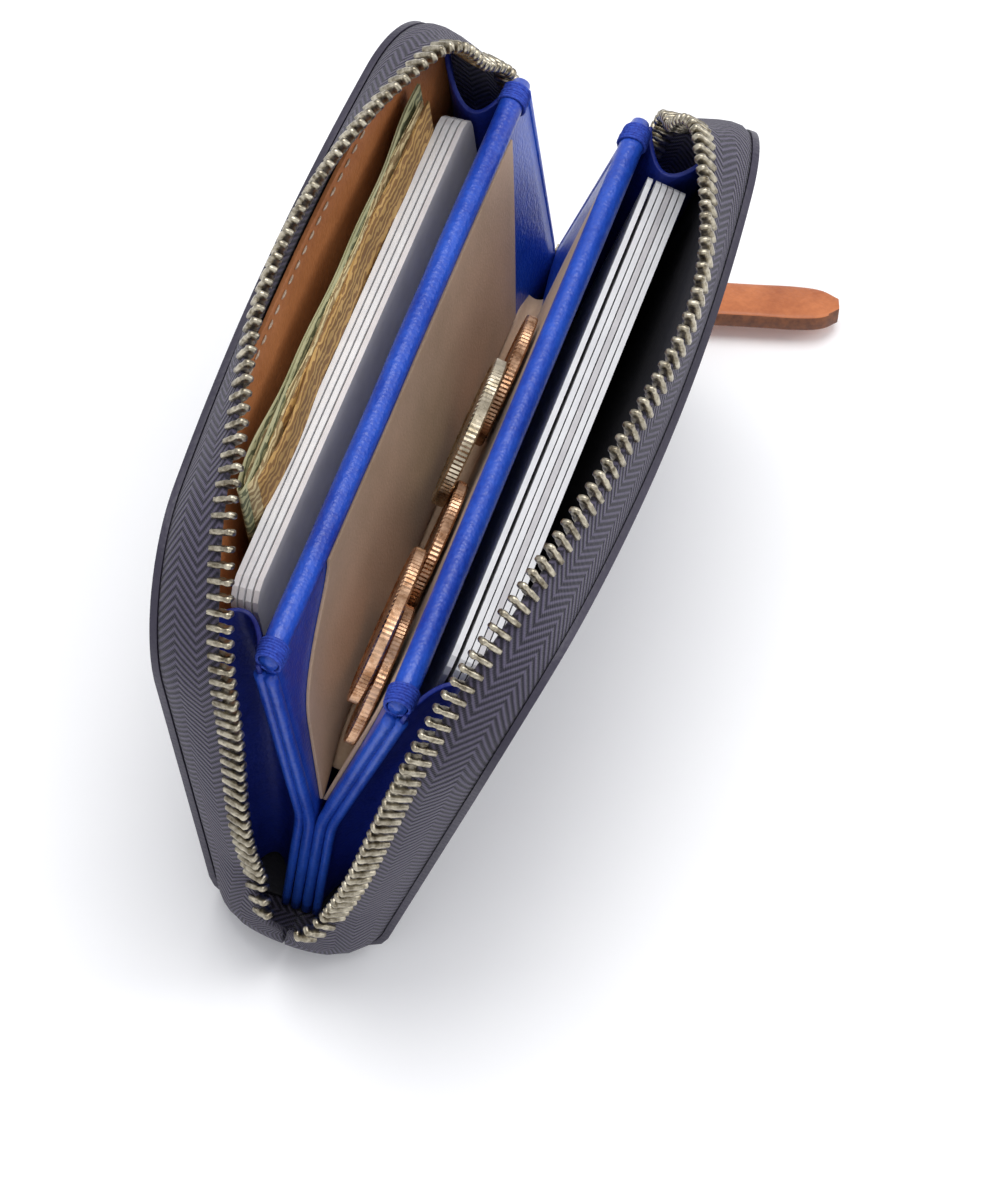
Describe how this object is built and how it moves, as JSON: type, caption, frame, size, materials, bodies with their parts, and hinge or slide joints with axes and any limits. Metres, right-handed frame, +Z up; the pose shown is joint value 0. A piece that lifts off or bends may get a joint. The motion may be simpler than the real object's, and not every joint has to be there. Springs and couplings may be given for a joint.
{
  "type": "zip around wallet",
  "caption": "Open wallet whose two stiff covers stand on a flat spine, with a zip along their edges, a coin pocket between and card and note compartments.",
  "frame": {"origin": "centre of the spine, on the surface that the wallet stands on", "axes": "+Z up, +Y along the spine from the zip's top stops to its slider, +X from the left cover to the right one"},
  "size_m": [0.0669, 0.1367, 0.0849],
  "materials": {
    "outer_leather": "smooth, dark purple-grey",
    "zip_tape": "herringbone weave",
    "zip_metal": "antique, satin",
    "blue_leather": "fine grain, satin",
    "pocket_lining": "matt",
    "tan_lining": "satin",
    "black_lining": "matt",
    "board": "matt",
    "tab_leather": "satin",
    "card": "satin",
    "note_paper": "matt",
    "coin_bronze": "worn",
    "coin_silver": "worn"
  },
  "bodies": {
    "spine": {"spine_leather": "outer_leather", "spine_lining": "black_lining", "pocket_left_wall": "blue_leather", "pocket_right_wall": "blue_leather", "pocket_floor": "pocket_lining", "left_front_gusset": "blue_leather", "left_front_tape_foot": "zip_tape", "left_rear_gusset": "blue_leather", "left_rear_tape_foot": "zip_tape", "right_front_gusset": "blue_leather", "right_front_tape_foot": "zip_tape", "right_rear_gusset": "blue_leather", "right_rear_tape_foot": "zip_tape", "zip_tail": "zip_metal", "bottom_stop": "zip_metal"},
    "left_cover": {"left_cover_leather": "outer_leather", "left_cover_board": "board", "left_cover_lining": "tan_lining", "left_tape": "zip_tape", "left_teeth": "zip_metal", "left_top_stop": "zip_metal"},
    "right_cover": {"right_cover_leather": "outer_leather", "right_cover_board": "board", "right_cover_lining": "black_lining", "right_tape": "zip_tape", "right_teeth": "zip_metal", "right_top_stop": "zip_metal"},
    "left_panel": {"left_panel_wall": "blue_leather", "left_panel_piping": "blue_leather", "left_panel_lining": "pocket_lining", "left_panel_front_bartack": "blue_leather", "left_panel_rear_bartack": "blue_leather"},
    "right_panel": {"right_panel_wall": "blue_leather", "right_panel_piping": "blue_leather", "right_panel_lining": "pocket_lining", "right_panel_front_bartack": "blue_leather", "right_panel_rear_bartack": "blue_leather"},
    "slider": {"slider_body": "zip_metal", "slider_bridge": "zip_metal"},
    "pull_ring": {"pull_ring": "zip_metal"},
    "pull_tab": {"pull_tab_face": "tab_leather", "pull_tab_back": "tab_leather"},
    "left_cards": {"left_card_1": "card", "left_card_2": "card", "left_card_3": "card", "left_card_4": "card"},
    "right_cards": {"right_card_1": "card", "right_card_2": "card", "right_card_3": "card", "right_card_4": "card", "right_card_5": "card", "right_card_6": "card"},
    "notes": {"note_1": "note_paper", "note_2": "note_paper", "note_3": "note_paper"},
    "coins": {"coin_1": "coin_bronze", "coin_2": "coin_bronze", "coin_3": "coin_bronze", "coin_4": "coin_bronze", "coin_5": "coin_silver"}
  },
  "joints": [
    {"name": "left_cover_fold", "type": "hinge", "parent": "spine", "child": "left_cover", "pos_m": [-0.012, 0, 0.0009], "axis": [0, -1, 0], "range_deg": [-6, 0], "deforming": ["left_front_gusset", "left_rear_gusset", "left_front_tape_foot", "left_rear_tape_foot"]},
    {"name": "right_cover_fold", "type": "hinge", "parent": "spine", "child": "right_cover", "pos_m": [0.012, 0, 0.0009], "axis": [0, 1, 0], "range_deg": [-4.5, 0], "deforming": ["right_front_gusset", "right_rear_gusset", "right_front_tape_foot", "right_rear_tape_foot"]},
    {"name": "left_panel_lean", "type": "hinge", "parent": "spine", "child": "left_panel", "pos_m": [-0.0024, 0, 0.022], "axis": [0, -1, 0], "range_deg": [-3, 0]},
    {"name": "right_panel_lean", "type": "hinge", "parent": "spine", "child": "right_panel", "pos_m": [0.0024, 0, 0.022], "axis": [0, 1, 0], "range_deg": [-2.7, 0]},
    {"name": "slider_travel", "type": "slide", "parent": "spine", "child": "slider", "axis": [0, 0, 1], "range_m": [0, 0.006]},
    {"name": "pull_ring_swing", "type": "hinge", "parent": "slider", "child": "pull_ring", "pos_m": [0, 0.0611, 0.0075], "axis": [0, 0, 1], "range_deg": [0, 120]},
    {"name": "pull_tab_lift", "type": "hinge", "parent": "pull_ring", "child": "pull_tab", "pos_m": [0.00959, 0.05958, 0.003], "axis": [0.3123, -0.95, 0], "range_deg": [0, 70]},
    {"name": "left_cards_lift", "type": "slide", "parent": "left_cover", "child": "left_cards", "axis": [-0.1736, 0, 0.9848], "range_m": [0, 0.01]},
    {"name": "notes_lift", "type": "slide", "parent": "left_cover", "child": "notes", "axis": [-0.1736, 0, 0.9848], "range_m": [0, 0.004]},
    {"name": "right_cards_lift", "type": "slide", "parent": "right_cover", "child": "right_cards", "axis": [0.1771, 0, 0.9842], "range_m": [0, 0.01]},
    {"name": "coins_lift", "type": "slide", "parent": "right_panel", "child": "coins", "axis": [0.1857, 0, 0.9826], "range_m": [0, 0.03]}
  ],
  "couplings": [
    {"joint": "left_panel_lean", "follows": "left_cover_fold", "ratio": 0.5},
    {"joint": "right_panel_lean", "follows": "right_cover_fold", "ratio": 0.6}
  ]
}
